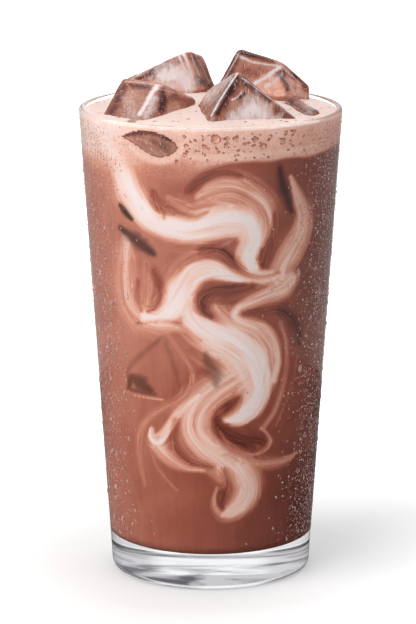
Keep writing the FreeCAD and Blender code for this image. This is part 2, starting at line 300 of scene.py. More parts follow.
# Drops on the outside: across and height as seen, and size. Runs have slid down a little.
DROPS = (
    (-36.4, 131.0, 1.0), (-34.0, 138.4, 0.6), (-35.2, 107.0, 0.85), (-34.6, 100.0, 0.75),
    (-32.6, 95.4, 0.8), (-33.6, 88.0, 0.7), (-32.2, 76.6, 0.7), (-31.6, 66.4, 0.9),
    (-31.4, 52.0, 0.65), (-29.8, 41.0, 0.75), (-30.2, 29.6, 0.8), (-28.2, 19.6, 0.6),
    (-26.0, 94.6, 0.75), (-27.6, 83.6, 0.5), (-26.4, 76.2, 0.65), (-28.4, 70.6, 0.45),
    (27.2, 102.0, 0.9), (33.8, 93.2, 0.95), (31.4, 86.4, 0.6), (35.0, 118.0, 0.7),
    (36.6, 131.6, 0.6), (28.0, 70.4, 0.9), (31.6, 60.2, 0.6), (33.4, 76.0, 0.7),
    (30.0, 47.0, 0.5), (29.6, 33.0, 0.55), (34.6, 107.4, 0.5), (32.6, 124.0, 0.5),
    (-31.0, 117.0, 0.5), (-37.0, 121.0, 0.6), (-28.8, 108.6, 0.35), (24.6, 58.0, 0.35),
    (26.6, 112.4, 0.35), (29.0, 122.6, 0.3), (-24.4, 57.0, 0.3), (-26.6, 35.6, 0.35))


def named(name, description, default, **more):
    return FloatProperty(name=name, description=description, default=default, **more)


def tint(name, description, color):
    return FloatVectorProperty(name=name, description=description, subtype="COLOR", size=3,
                               default=color)


class TumblerSizes(bpy.types.PropertyGroup):
    """Sizes of the glass, in millimetres."""
    rim_radius: named("Rim radius", "Outer radius of the cone at the lip", 41.7)
    foot_radius: named("Foot radius", "Outer radius of the cone on the table", 31.7)
    rim_wall: named("Rim wall", "Wall at the lip", 1.9)
    foot_wall: named("Foot wall", "Wall at the inner floor", 3.2)
    floor: named("Floor", "Table to the inner floor", 11.5)
    inner_corner: named("Inner corner", "Round between floor and wall", 3.2)
    heel: named("Heel", "Round between wall and underside", 2.6)
    foot_ring: named("Foot ring", "Width of the ring that stands on the table", 1.9)
    punt: named("Punt", "Depth of the hollow under the base", 1.9)
    punt_lead: named("Punt lead", "Width of the slope into the hollow", 1.6)
    steps: IntProperty(name="Steps", description="Faces round the glass", default=256, min=48)


class DrinkLooks(bpy.types.PropertyGroup):
    """Levels and colours of the cocoa and its foam."""
    freeboard: named("Freeboard", "Lip above the foam at the wall, mm", 1.2)
    foam_rise: named("Foam rise", "Middle of the foam above its edge, mm", 2.4)
    foam_depth: named("Foam depth", "Foam at the wall, mm", 9.8)
    lobe_depth: named("Lobe depth", "Lowest foam below the rest, mm", 5.5)
    reach: named("Reach", "How far the drink reaches into the wall, mm", 0.15)
    grain: named("Grain", "Distance between points on the wall, mm", 0.60)
    cocoa: tint("Cocoa", "Colour of the cocoa with no milk", (0.110, 0.026, 0.018))
    milky: tint("Milky cocoa", "Colour of cocoa with some milk", (0.330, 0.095, 0.062))
    tan: tint("Tan", "Colour of half mixed milk", (0.600, 0.270, 0.185))
    cream: tint("Cream", "Colour of barely mixed milk", (0.780, 0.530, 0.440))
    milk: tint("Milk", "Colour of unmixed milk", (0.800, 0.715, 0.700))


class StageSettings(bpy.types.PropertyGroup):
    """Camera, floor and light."""
    distance: named("Distance", "Camera to the glass's axis", 1.0, unit="LENGTH")
    height: named("Height", "Camera above the table", 0.3112, unit="LENGTH")
    pitch: named("Pitch", "Camera tilt below level", math.radians(12.84), unit="ROTATION")
    lens: named("Lens", "Focal length, mm", 184.9)
    shift: named("Shift", "Sideways shift of the frame", -0.0042)
    ambient: named("Ambient", "Light from all round", 0.5)


def sizes():
    return bpy.context.scene.cocoa_tumbler


def looks():
    return bpy.context.scene.cocoa_drink


def outer_radius(z):
    s = sizes()
    return s.foot_radius + (s.rim_radius - s.foot_radius) * z / HEIGHT


def inner_radius(z):
    s = sizes()
    up = (z - s.floor) / (HEIGHT - s.floor)
    return outer_radius(z) - (s.foot_wall + (s.rim_wall - s.foot_wall) * up)


def foam_level():
    return HEIGHT - looks().freeboard


# --- Outlines and meshes -----------------------------------------------------------------


def straight(start, end, gap):
    """Points from start to before end, about a gap apart."""
    count = max(1, round(math.dist(start, end) / gap))
    return [tuple(a + (b - a) * i / count for a, b in zip(start, end)) for i in range(count)]


def fillet(before, corner, after, radius, count):
    """Points of a round at a corner of an outline, both ends included."""
    corner = Vector(corner)
    back = (Vector(before) - corner).normalized()
    ahead = (Vector(after) - corner).normalized()
    half = back.angle(ahead) / 2
    run = radius / math.tan(half)
    centre = corner + (back + ahead).normalized() * (radius / math.sin(half))
    start = corner + back * run - centre
    end = corner + ahead * run - centre
    sweep = math.pi - 2 * half
    turn = sweep if start.x * end.y - start.y * end.x > 0 else -sweep
    points = []
    for i in range(count + 1):
        a = turn * i / count
        points.append((centre.x + start.x * math.cos(a) - start.y * math.sin(a),
                       centre.y + start.x * math.sin(a) + start.y * math.cos(a)))
    return points


def dome(edge, rise, count):
    """Points of a shallow dome from its edge to the axis, after the edge itself."""
    radius = (edge[0] ** 2 + rise ** 2) / (2 * rise)
    points = []
    for i in range(1, count + 1):
        x = edge[0] * (1 - i / count)
        points.append((x, edge[1] + rise - radius + math.sqrt(radius ** 2 - x ** 2)))
    return points


def lathe(name, outline, steps):
    """Closed solid of revolution of an outline that starts and ends on the axis."""
    bm = bmesh.new()
    verts = [bm.verts.new((x * MM, 0, z * MM)) for x, z in outline]
    edges = [bm.edges.new(pair) for pair in zip(verts, verts[1:])]
    bmesh.ops.spin(bm, geom=verts + edges, cent=(0, 0, 0), axis=(0, 0, 1), dvec=(0, 0, 0),
                   angle=math.tau, steps=steps, use_merge=True)
    bmesh.ops.remove_doubles(bm, verts=bm.verts, dist=1e-7)
    bmesh.ops.recalc_face_normals(bm, faces=bm.faces)
    return finished(name, bm)


def shown(name, data):
    """Object of a mesh, lamp or camera, in the scene."""
    obj = bpy.data.objects.new(name, data)
    bpy.context.scene.collection.objects.link(obj)
    return obj


def finished(name, bm):
    """Object of a bmesh, smooth shaded, in the scene."""
    for face in bm.faces:
        face.smooth = True
    mesh = bpy.data.meshes.new(name)
    bm.to_mesh(mesh)
    bm.free()
    return shown(name, mesh)


def form_arrays(bm):
    """Points and triangles of a bmesh, which is used up."""
    bmesh.ops.triangulate(bm, faces=bm.faces)
    bmesh.ops.recalc_face_normals(bm, faces=bm.faces)
    bm.verts.index_update()
    points = np.array([vert.co[:] for vert in bm.verts])
    faces = np.array([[vert.index for vert in face.verts] for face in bm.faces])
    bm.free()
    return points, faces


def joined(name, copies, triangles):
    """One object of many copies of a form, each given by its points in millimetres."""
    co = np.concatenate(copies) * MM
    count = len(copies[0])
    faces = np.concatenate([triangles + count * i for i in range(len(copies))])
    mesh = bpy.data.meshes.new(name)
    mesh.vertices.add(len(co))
    mesh.vertices.foreach_set("co", co.astype(np.float32).ravel())
    mesh.loops.add(faces.size)
    mesh.loops.foreach_set("vertex_index", faces.astype(np.int32).ravel())
    mesh.polygons.add(len(faces))
    mesh.polygons.foreach_set("loop_start", np.arange(0, faces.size, 3, dtype=np.int32))
    mesh.update(calc_edges=True)
    mesh.shade_smooth()
    return shown(name, mesh)


def settled(obj):
    """The object with its modifiers applied."""
    graph = bpy.context.evaluated_depsgraph_get()
    graph.update()
    mesh = bpy.data.meshes.new_from_object(obj.evaluated_get(graph), depsgraph=graph)
    old = obj.data
    obj.modifiers.clear()
    obj.data = mesh
    bpy.data.meshes.remove(old)
    return obj


def cut(obj, cutter):
    """Takes the cutter out of the object and away."""
    modifier = obj.modifiers.new("cut", "BOOLEAN")
    modifier.operation = "DIFFERENCE"
    modifier.solver = "MANIFOLD"
    modifier.object = cutter
    settled(obj)
    bpy.data.objects.remove(cutter)


# --- Points of a mesh --------------------------------------------------------------------


def vectors(collection, field, count):
    """Vectors of a mesh as an array, one row each."""
    flat = np.empty(count * 3, np.float32)
    collection.foreach_get(field, flat)
    return flat.reshape(-1, 3).astype(float)


def points_of(obj):
    return vectors(obj.data.vertices, "co", len(obj.data.vertices))


def normals_of(obj):
    return vectors(obj.data.vertex_normals, "vector", len(obj.data.vertices))


def move_points(obj, co):
    obj.data.vertices.foreach_set("co", co.astype(np.float32).ravel())
    obj.data.update()


def round_axis(co):
    """Bearing from the front, positive to the right, height and distance from the axis of
    points, the last two in millimetres."""
    return (np.arctan2(co[:, 0], -co[:, 1]), co[:, 2] / MM,
            np.hypot(co[:, 0], co[:, 1]) / MM)


def drawn_out(co, scale):
    """Points moved away from the axis by a scale."""
    co[:, 0] *= scale
    co[:, 1] *= scale
    return co


def write_attribute(obj, name, values):
    attribute = obj.data.attributes.new(name, "FLOAT", "POINT")
    attribute.data.foreach_set("value", np.asarray(values, np.float32))


def soft_noise(co, size, seed):
    """Smooth noise from -1 to 1 at points in metres, with bumps of a size in millimetres."""
    table = np.random.RandomState(seed).uniform(-1, 1, (NOISE_CELLS,) * 3)
    p = co / (size * MM) + 1000
    cell = np.floor(p).astype(int)
    f = p - cell
    f = f * f * (3 - 2 * f)
    total = np.zeros(len(co))
    for corner in np.ndindex(2, 2, 2):
        weight = (np.abs(1 - corner[0] - f[:, 0]) * np.abs(1 - corner[1] - f[:, 1])
                  * np.abs(1 - corner[2] - f[:, 2]))
        total += weight * table[tuple(((cell + corner) % NOISE_CELLS).T)]
    return total


def smoothstep(low, high, x):
    t = np.clip((x - low) / (high - low), 0, 1)
    return t * t * (3 - 2 * t)


# --- Materials ---------------------------------------------------------------------------


class Wiring:
    """Nodes of a material or of the world, joined up as they are made."""

    def __init__(self, owner):
        owner.use_nodes = True
        self.nodes = owner.node_tree.nodes
        self.links = owner.node_tree.links
        self.nodes.clear()

    def feed(self, socket, value):
        """Links a socket to another, or sets it to a number, a vector or a colour."""
        if isinstance(value, bpy.types.NodeSocket):
            self.links.new(value, socket)
        elif socket.type == "RGBA":
            socket.default_value = (*value, 1)
        else:
            socket.default_value = value

    def add(self, kind, *values, **more):
        """A node with its sockets fed, in order or by name."""
        node = self.nodes.new("ShaderNode" + kind)
        for socket, value in zip(node.inputs, values):
            self.feed(socket, value)
        for name, value in more.items():
            self.feed(node.inputs[name.replace("_", " ")], value)
        return node

    def place(self):
        return self.add("TexCoord").outputs["Object"]

    def attribute(self, name):
        node = self.add("Attribute")
        node.attribute_name = name
        return node.outputs["Fac"]

    def math(self, operation, a, b, clamp=False):
        node = self.add("Math", a, b)
        node.operation = operation
        node.use_clamp = clamp
        return node.outputs[0]

    def times(self, a, b):
        return self.math("MULTIPLY", a, b)

    def noise(self, vector, scale, detail, roughness=0.5, distortion=0.0):
        return self.add("TexNoise", Vector=vector, Scale=scale, Detail=detail,
                        Roughness=roughness, Distortion=distortion).outputs["Fac"]

    def nudge(self, value, noise, amount):
        """A value with centred noise added, its strength a number or a socket."""
        centred = self.math("SUBTRACT", noise, 0.5)
        return self.math("ADD", value, self.times(centred, amount))

    def span(self, value, low, high, to_low=0.0, to_high=1.0, smooth=False):
        """A value taken from one span to another and held at its ends."""
        node = self.add("MapRange", value, low, high, to_low, to_high)
        if smooth:
            node.interpolation_type = "SMOOTHSTEP"
        return node.outputs[0]

    def ramp(self, value, stops):
        """Colours along a value, from pairs of a position and a colour."""
        node = self.add("ValToRGB", value)
        elements = node.color_ramp.elements
        while len(elements) > 1:
            elements.remove(elements[-1])
        elements[0].position = stops[0][0]
        elements[0].color = (*stops[0][1], 1)
        for position, color in stops[1:]:
            elements.new(position).color = (*color, 1)
        return node.outputs[0]

    def over(self, share, under, color):
        """A colour laid over another."""
        node = self.add("Mix", share)
        node.data_type = "RGBA"
        self.feed(node.inputs[6], under)
        self.feed(node.inputs[7], color)
        return node.outputs[2]

    def body(self, **values):
        return self.add("BsdfPrincipled", **values).outputs[0]

    def bump(self, height, strength, distance):
        return self.add("Bump", Strength=strength, Distance=distance,
                        Height=height).outputs[0]

    def blend(self, share, first, second):
        return self.add("MixShader", share, first, second).outputs[0]

    def straight_view(self):
        """1 for rays that reach the camera with nothing matt between, also through glass."""
        path = self.add("LightPath").outputs
        ray = self.math("MAXIMUM", path["Is Camera Ray"], path["Is Glossy Ray"])
        ray = self.math("MAXIMUM", ray, path["Is Transmission Ray"])
        return self.times(ray, self.math("LESS_THAN", path["Diffuse Depth"], 0.5))


def new_material(name):
    material = bpy.data.materials.new(name)
    return material, Wiring(material)


def matt_or_wet(tree, shader):
    """Ends a material with a shader that lamps don't shine through."""
    tree.add("OutputMaterial", Surface=shader)


def open_glass(tree, shader, color):
    """Ends a material with a shader that lamps shine through."""
    path = tree.add("LightPath").outputs
    through = tree.add("BsdfTransparent", Color=color).outputs[0]
    tree.add("OutputMaterial", Surface=tree.blend(path["Is Shadow Ray"], shader, through))


def clear_glass(tree):
    return tree.body(Base_Color=CLEAR, Roughness=0.0, IOR=GLASS_BEND, Transmission_Weight=1.0)


def pinholes(tree, place, scale, size):
    """1 in the middle of tiny bubbles strewn at random, 0 between them."""
    cells = tree.add("TexVoronoi", Vector=place, Scale=scale)
    return tree.span(cells.outputs["Distance"], size, size * 0.35, smooth=True)


def palette(tree, value):
    """Colour of cocoa from no milk to all milk."""
    look = looks()
    return tree.ramp(value, ((0.0, look.cocoa), (0.25, look.milky), (0.5, look.tan),
                             (0.74, look.cream), (1.0, look.milk)))


def bubbly_value(tree, place, value):
    """Foam's grain: pale froth with dark pinholes, painted shade of tiny open bubbles and the
    browner cocoa in them, as strong as the mesh says.
    """
    froth = tree.attribute("froth")
    value = tree.nudge(value, tree.noise(place, 1300.0, 3, 0.65), tree.times(froth, 0.34))
    crowd = tree.span(tree.noise(place, 160.0, 2, 0.5), 0.38, 0.62)
    for scale, size, depth in ((1500.0, 0.30, 0.20), (800.0, 0.17, 0.30)):
        # Dark pinholes: painted shade of tiny open bubbles, with the browner cocoa in them.
        pinhole_shade = tree.times(tree.times(pinholes(tree, place, scale, size), crowd), froth)
        value = tree.math("SUBTRACT", value, tree.times(pinhole_shade, depth))
    return value


def drink_material():
    """Milky cocoa against the wall: how much milk comes from the mesh, where it also carries
    painted light and shade, the fine streaks from the way it runs."""
    material, tree = new_material("swirled cocoa")
    place = tree.place()
    x, _, z = tree.add("SeparateXYZ", place).outputs
    run = tree.add("CombineXYZ", tree.attribute("across"), tree.times(x, 60.0),
                   tree.times(z, 60.0)).outputs[0]
    value = tree.nudge(tree.attribute("milk"), tree.noise(run, 1.3, 4, 0.6),
                       tree.times(tree.attribute("streak"), 0.95))
    value = tree.nudge(value, tree.noise(place, 48.0, 3, 0.5, 1.2), 0.16)
    color = palette(tree, bubbly_value(tree, place, value))
    # Painted shade of the sunk ice.
    color = tree.over(tree.attribute("dark"), color, (0.042, 0.014, 0.014))
    matt_or_wet(tree, tree.body(
        Base_Color=color, Roughness=0.6, Specular_IOR_Level=0.0, Subsurface_Weight=0.2,
        Subsurface_Radius=MILK_GLOW, Subsurface_Scale=0.001))
    return material


def foam_material():
    """Fine froth on the cocoa, browner where it is thin."""
    material, tree = new_material("cocoa foam")
    place = tree.place()
    value = tree.nudge(tree.attribute("milk"), tree.noise(place, 120.0, 3, 0.5, 0.5), 0.14)
    color = palette(tree, bubbly_value(tree, place, value))
    matt_or_wet(tree, tree.body(
        Base_Color=color, Roughness=0.5, Specular_IOR_Level=0.15, Subsurface_Weight=0.3,
        Subsurface_Radius=MILK_GLOW, Subsurface_Scale=0.0012,
        Normal=tree.bump(tree.noise(place, 900.0, 3, 0.6), 0.4, 0.0003)))
    return material


def hollow_material(name, color):
    """Wet cocoa in a burst bubble or round the foot of the ice."""
    material, tree = new_material(name)
    mottle = tree.noise(tree.place(), 420.0, 3, 0.55)
    shade = tree.ramp(mottle, ((0.3, tuple(c * 0.62 for c in color)),
                               (0.7, tuple(min(1, c * 1.25) for c in color))))
    matt_or_wet(tree, tree.body(Base_Color=shade, Roughness=0.55))
    return material


def glass_with_painted_dew_glints():
    """Clear glass with a fine mist of dew on the sides of the drink: the beads are opaque specks
    from dark brown to pale, painted glints and shade that stand in for how the drops bend the
    light.
    """
    material, tree = new_material("misted glass")
    place = tree.place()
    beads = tree.add("TexVoronoi", Vector=place, Scale=1500.0).outputs
    chance, shade, _ = tree.add("SeparateColor", beads["Color"]).outputs
    # Painted highlight and shade of the dew beads, dark brown to pale.
    tone = tree.ramp(shade, ((0.0, (0.26, 0.09, 0.065)), (0.6, (0.44, 0.19, 0.145)),
                             (0.85, (0.66, 0.38, 0.31)), (1.0, (0.90, 0.72, 0.68))))
    dew = tree.body(Base_Color=tone, Roughness=0.3)
    thick = tree.times(tree.attribute("mist"), tree.noise(place, 260.0, 3, 0.6))
    held = tree.math("LESS_THAN", chance, tree.times(thick, 1.7))
    amount = tree.times(tree.times(tree.span(beads["Distance"], 0.50, 0.30), held), 0.7)
    open_glass(tree, tree.blend(amount, clear_glass(tree), dew), CLEAR)
    return material


def foot_painted_glow_material():
    """The glass's foot: bright and dark streaks painted on its underside as a glow, seen only by
    straight rays, that stand in for the light it gathers from the table.
    """
    material, tree = new_material("glass foot painted glow")
    flat = tree.add("Mapping", Vector=tree.place(), Scale=(1.0, 1.6, 5.0)).outputs[0]
    tone = tree.ramp(tree.noise(flat, 55.0, 3, 0.5, 0.6), (
        (0.36, (0.20, 0.20, 0.24)), (0.45, (0.60, 0.60, 0.63)), (0.55, (0.98, 0.98, 1.0))))
    glow = tree.add("Emission", Color=tone, Strength=tree.straight_view()).outputs[0]
    open_glass(tree, tree.blend(0.62, clear_glass(tree), glow), CLEAR)
    return material


def ice_material():
    """Melting ice: clear parts, white clouds, and a painted brown, darker under the shade marks,
    that stands in for the cocoa seen through the ice and the shade in its hollows.
    """
    material, tree = new_material("melting ice")
    place = tree.place()
    drawn = tree.add("Mapping", Vector=place, Rotation=(0.35, -0.35, 0.5),
                     Scale=(1.0, 1.0, 0.2)).outputs[0]
    streak = tree.noise(drawn, 700.0, 5, 0.7, 0.6)
    patch = tree.noise(place, 150.0, 4, 0.6, 0.8)
    # Ridges are whitened a little: a painted highlight.
    white = tree.math("ADD", tree.attribute("frost"), tree.times(tree.attribute("edge"), 0.22))
    white = tree.nudge(tree.nudge(white, streak, 1.15), patch, 0.30)
    specks = tree.math("SUBTRACT", tree.noise(drawn, 2600.0, 2, 0.5), 0.60)
    specks = tree.times(tree.math("MULTIPLY", specks, 9.0, clamp=True), patch)
    cloud = tree.span(tree.math("ADD", white, specks), 0.16, 0.90)
    # Painted brown and shade: the cocoa seen through the ice, darker where the shade marks lie.
    brown = tree.nudge(tree.nudge(tree.attribute("shade"), patch, 1.1), streak, 0.5)
    brown = tree.math("ADD", brown, 0.22, clamp=True)
    clear_tone = tree.ramp(brown, ((0.0, (0.92, 0.66, 0.56)), (0.35, (0.74, 0.40, 0.30)),
                                   (0.8, (0.36, 0.13, 0.095)), (1.0, (0.16, 0.06, 0.05))))
    painted_brown_tone = tree.ramp(brown, ((0.0, (0.80, 0.46, 0.33)), (0.35, (0.53, 0.215, 0.14)),
                                     (0.8, (0.18, 0.055, 0.04)), (1.0, (0.07, 0.022, 0.022))))
    bump = tree.bump(tree.noise(drawn, 480.0, 5, 0.62, 0.4), 0.5, 0.00035)
    clear = tree.body(Base_Color=clear_tone, Roughness=0.03, IOR=1.31,
                      Transmission_Weight=1.0, Normal=bump)
    painted_brown = tree.body(Base_Color=painted_brown_tone, Roughness=0.22, Normal=bump)
    cloudy = tree.body(Base_Color=(0.74, 0.65, 0.65), Roughness=0.3, Subsurface_Weight=0.3,
                       Subsurface_Radius=(1.0, 0.85, 0.8), Subsurface_Scale=0.0015, Normal=bump)
    ice = tree.blend(cloud, tree.blend(0.5, clear, painted_brown), cloudy)
    open_glass(tree, ice, (0.80, 0.74, 0.72))
    return material


def dew_material():
    """Water drops with some of an opaque tone from brown to pale mixed in: painted glints and
    shade so that they stand out.
    """
    material, tree = new_material("dew")
    water = tree.body(Base_Color=(0.98, 0.97, 0.97), Roughness=0.0, IOR=1.33,
                      Transmission_Weight=1.0)
    # Painted glints and shade: an opaque mottled tone, 18 per cent of each drop.
    tone = tree.ramp(tree.noise(tree.place(), 300.0, 2), (
        (0.3, (0.46, 0.21, 0.165)), (0.7, (0.82, 0.62, 0.57))))
    pale = tree.body(Base_Color=tone, Roughness=0.2)
    open_glass(tree, tree.blend(0.18, water, pale), (0.97, 0.96, 0.96))
    return material


# --- Milk on the wall --------------------------------------------------------------------


def seen_bearing(across, z):
    """Bearing on the inner wall of a point seen from the front through the bending wall."""
    outer = outer_radius(z)
    x = np.clip(across / outer, -0.999, 0.999)
    enter = np.arcsin(x)
    inside = np.arcsin(x / GLASS_BEND)
    leave = np.arcsin(np.clip(x * outer / (GLASS_BEND * inner_radius(z)), -1, 1))
    return enter + leave - inside


def run_on_wall(points, turn=0.0):
    """Smooth run through given points, as bearing, height and half width."""
    p = np.array(points, float)
    p = np.vstack([2 * p[0] - p[1], p, 2 * p[-1] - p[-2]])
    rows = []
    for i in range(1, len(p) - 2):
        for t in np.arange(RUN_STEPS) / RUN_STEPS:
            rows.append(0.5 * (2 * p[i] + (p[i + 1] - p[i - 1]) * t
                               + (2 * p[i - 1] - 5 * p[i] + 4 * p[i + 1] - p[i + 2]) * t ** 2
                               + (3 * p[i] - p[i - 1] - 3 * p[i + 1] + p[i + 2]) * t ** 3))
    rows.append(p[-2])
    run = np.array(rows)
    run[:, 0] = seen_bearing(run[:, 0], run[:, 1]) + turn
    run[:, 2] = np.maximum(run[:, 2], 0.05)
    return run


def beside_run(bearing, z, run):
    """Points of the wall near a run: their indices, distance from it in half widths and in mm,
    and how far along it they are, in mm."""
    low = run[:, 1].min() - NEAR_RUN
    high = run[:, 1].max() + NEAR_RUN
    middle = (run[:, 0].min() + run[:, 0].max()) / 2
    reach = (run[:, 0].max() - run[:, 0].min()) / 2 + 0.45
    off = (bearing - middle + math.pi) % math.tau - math.pi
    near = np.nonzero((z > low) & (z < high) & (np.abs(off) < reach))[0]
    radius = inner_radius(z[near])
    ds = (off[near] * radius)[:, None] - (run[:, 0] - middle)[None, :] * radius[:, None]
    dz = z[near][:, None] - run[None, :, 1]
    square = ds ** 2 + dz ** 2
    pick = np.argmin(square, axis=1) if len(near) else np.empty(0, int)
    rows = np.arange(len(near))
    ahead = np.minimum(pick + 1, len(run) - 1)
    back = np.maximum(pick - 1, 0)
    ts = (run[ahead, 0] - run[back, 0]) * radius
    tz = run[ahead, 1] - run[back, 1]
    side = np.sign(ts * dz[rows, pick] - tz * ds[rows, pick])
    distance = np.sqrt(square[rows, pick]) * side
    step = np.hypot(np.diff(run[:, 0]) * DRINK_ARC, np.diff(run[:, 1]))
    along = np.concatenate([[0], np.cumsum(step)])[pick]
    return near, distance / run[pick, 2], distance, along


def beside_marks(bearing, z, marks_on_wall):
    """Strength and softness of each mark, the points near it and how far off they are."""
    for strong, soft, points in marks_on_wall:
        near, relative, _, _ = beside_run(bearing, z, run_on_wall(points))
        yield strong, soft, near, relative


def streaks(distance, along, seed):
    """Noise from -1 to 1 drawn out along a run."""
    wide = np.stack([distance / 1.5, along / 22, np.full(len(along), seed * 3.7)], 1)
    thin = np.stack([distance / 0.75, along / 12, np.full(len(along), seed * 5.3)], 1)
    return (0.7 * soft_noise(wide, 1000, 7) + 0.7 * soft_noise(thin, 1000, 8)) * 1.4


def cover(relative, soft_left, soft_right):
    """How much a run covers: 1 inside, falling to 0 over its soft edges."""
    soft = np.where(relative > 0, soft_left, soft_right)
    return 1 - smoothstep(1 - soft, 1 + soft, np.abs(relative))


def paint_wall(co, bearing, z):
    """Milk, which also carries painted light and shade, distance across its streaks, their
    strength, and darkness, the painted shade of the sunk ice, at points of the wall.
    """
    # Painted light and shade: more milk on the left and less on the right and low down, for how
    # the light falls there.
    milk = 0.19 + 0.16 * np.cos(bearing + 1.1)
    milk -= 0.09 * smoothstep(75, 25, z) * smoothstep(-0.9, 0.1, bearing)
    milk += 0.05 * soft_noise(co, 26, 5) + 0.03 * soft_noise(co, 11, 6)
    across = 0.5 * bearing * WALL_ARC + 2 * soft_noise(co, 20, 9)
    strength = np.full(len(z), 0.10)
    behind = [(strong, left, right, [(1 - 0.9 * x, 4 + 0.94 * up, w) for x, up, w in points])
              for strong, left, right, points in MILK_RUNS]
    seed = 0
    for runs, turn, is_milk in ((MILK_RUNS, 0.0, True), (behind, math.pi, True),
                                (COCOA_RUNS, 0.0, False)):
        for strong, soft_left, soft_right, points in runs:
            seed += 1
            near, relative, distance, along = beside_run(bearing, z, run_on_wall(points, turn))
            if len(near) == 0:
                continue
            lines = streaks(distance, along, seed)
            feather = 0.30 * lines * smoothstep(0.3, 1.0, np.abs(relative))
            if not is_milk:
                relative = relative / 1.4
                soft_left = soft_right = 1.0
            c = cover(relative * 0.93 * (1 + feather), soft_left * 1.15, soft_right * 1.15)
            if is_milk:
                own = strong * (1 + 0.20 * lines)
                milk[near] += (np.maximum(own, milk[near]) - milk[near]) * c
            else:
                milk[near] *= 1 - 0.8 * c * strong * (1 + 0.2 * lines)
            across[near] += (distance * 2.1 - across[near]) * c
            strength[near] += (0.75 - strength[near]) * c
    for strong, soft, near, relative in beside_marks(bearing, z, LIT_RIM):
        milk[near] = np.maximum(milk[near], strong * cover(relative, soft, soft))
    # Painted shade where sunk ice leans on the wall.
    dark = np.zeros(len(z))
    for strong, soft, near, relative in beside_marks(bearing, z, SUNK_ICE_SHADE):
        ragged = 1 + 0.25 * soft_noise(co[near], 1.6, 12)
        dark[near] = np.maximum(dark[near], strong * cover(relative * ragged, soft, soft))
    return milk, across, strength, dark


def lobe(bearing):
    """Share of the foam's lobe at a bearing."""
    return np.exp(-((bearing + 0.33) / 0.36) ** 2)


def sag(bearing, share):
    """How far the boundary of foam and cocoa hangs below the foam's plain depth."""
    wave = 0.25 * np.sin(bearing * 3 + 1) + 0.15 * np.sin(bearing * 7)
    return (wave - looks().lobe_depth * lobe(bearing)) * share


def foam_on_wall(co, bearing, z):
    """Foam's lightness and share of the wall at points of it. On the left of the front, foam
    and cocoa blend, and elsewhere they part."""
    blend = smoothstep(0.0, -0.45, bearing) * smoothstep(-2.6, -1.9, bearing)
    level = foam_level()
    bottom = level - looks().foam_depth
    # Painted light and shade: the foam's side is lighter on the left and darker on the right.
    light = 0.66 + 0.17 * smoothstep(-0.55, -0.95, bearing) - 0.06 * smoothstep(0.3, 1.2, bearing)
    light += 0.05 * smoothstep(level - 4, level, z)
    light -= 0.26 * lobe(bearing) * smoothstep(bottom + 2.5, bottom - 4, z)
    light += 0.04 * soft_noise(co, 7, 31) + 0.02 * soft_noise(co, 3, 32)
    for strong, soft, near, relative in beside_marks(bearing, z, FOAM_RUNS):
        light[near] += (strong - light[near]) * 0.6 * cover(relative, soft, soft)
    wave = 0.35 * np.sin(bearing * 5 + 1) + 0.5 * soft_noise(co, 6, 33)
    low = bottom + wave * (1 - blend) + 0.1 - blend * 2.5 - 4.5 * lobe(bearing)
    fade = 0.7 + blend * (4.5 + 2.0 * soft_noise(co, 8, 34))
    return light, smoothstep(low - fade, low + fade, z)


# --- Glass, cocoa and foam ---------------------------------------------------------------


def tumbler_outline():
    """Outline of the glass from the middle of its inner floor round to the middle of its
    base."""
    s = sizes()
    lip = s.rim_wall / 2
    lip_z = HEIGHT - lip
    inner_lip = (inner_radius(lip_z), lip_z)
    outer_lip = (outer_radius(lip_z), lip_z)
    floor_corner = (inner_radius(s.floor), s.floor)
    points = straight((0, s.floor), floor_corner, 2.0)[:-2]
    points += fillet((0, s.floor), floor_corner, inner_lip, s.inner_corner, 10)
    points += straight(points[-1], inner_lip, 2.0)[1:]
    middle = (inner_lip[0] + outer_lip[0]) / 2
    half = (outer_lip[0] - inner_lip[0]) / 2
    for i in range(LIP_STEPS + 1):
        a = math.pi * (1 - i / LIP_STEPS)
        points.append((middle + half * math.cos(a), lip_z + lip * math.sin(a)))
    heel = fillet(outer_lip, (s.foot_radius, 0), (0, 0), s.heel, 12)
    points += straight(outer_lip, heel[0], 2.0)[1:] + heel
    ring = (heel[-1][0] - s.foot_ring, 0)
    punt_edge = (ring[0] - s.punt_lead, s.punt / 2)
    points += straight(ring, punt_edge, 0.4) + [punt_edge]
    return points + dome(punt_edge, s.punt / 2, 14)


def mist_on(co):
    """How misted the outside of the glass is at points of it."""
    bearing, z, radial = round_axis(co)
    side = smoothstep(0.66, 1.20, np.abs(bearing) + 0.10 * soft_noise(co, 9, 51))
    back = 1 - 0.45 * smoothstep(1.7, 2.6, np.abs(bearing))
    band = smoothstep(12.0, 19.0, z) * smoothstep(149.0, 144.0, z)
    return 0.78 * side * back * band * (radial > outer_radius(z) - 0.4)


def make_tumbler():
    glass = lathe("tumbler", tumbler_outline(), sizes().steps)
    write_attribute(glass, "mist", mist_on(points_of(glass)))
    glass.data.materials.append(glass_with_painted_dew_glints())
    glass.data.materials.append(foot_painted_glow_material())
    # The underside takes the foot's painted glow.
    for face in glass.data.polygons:
        if face.normal.z < -0.6:
            face.material_index = 1
    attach(glass, "root")
    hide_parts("glass")


def on_wall(co, reach):
    """Points put back on the inner wall at their height."""
    _, z, radial = round_axis(co)
    return drawn_out(co, (inner_radius(z) + reach) / np.maximum(radial, 1e-6))


def cocoa_outline():
    s = sizes()
    look = looks()
    floor = s.floor - look.reach
    top = foam_level() - look.foam_depth
    start = (inner_radius(s.floor) + look.reach, floor)
    end = (inner_radius(top) + look.reach, top)
    points = straight((0, floor), start, 2.5)[:-2]
    points += fillet((0, floor), start, end, s.inner_corner, 8)
    points += straight(points[-1], end, look.grain)[1:] + [end]
    points += straight((end[0] - 1.5, top), (0, top), 2.0) + [(0, top)]
    return points


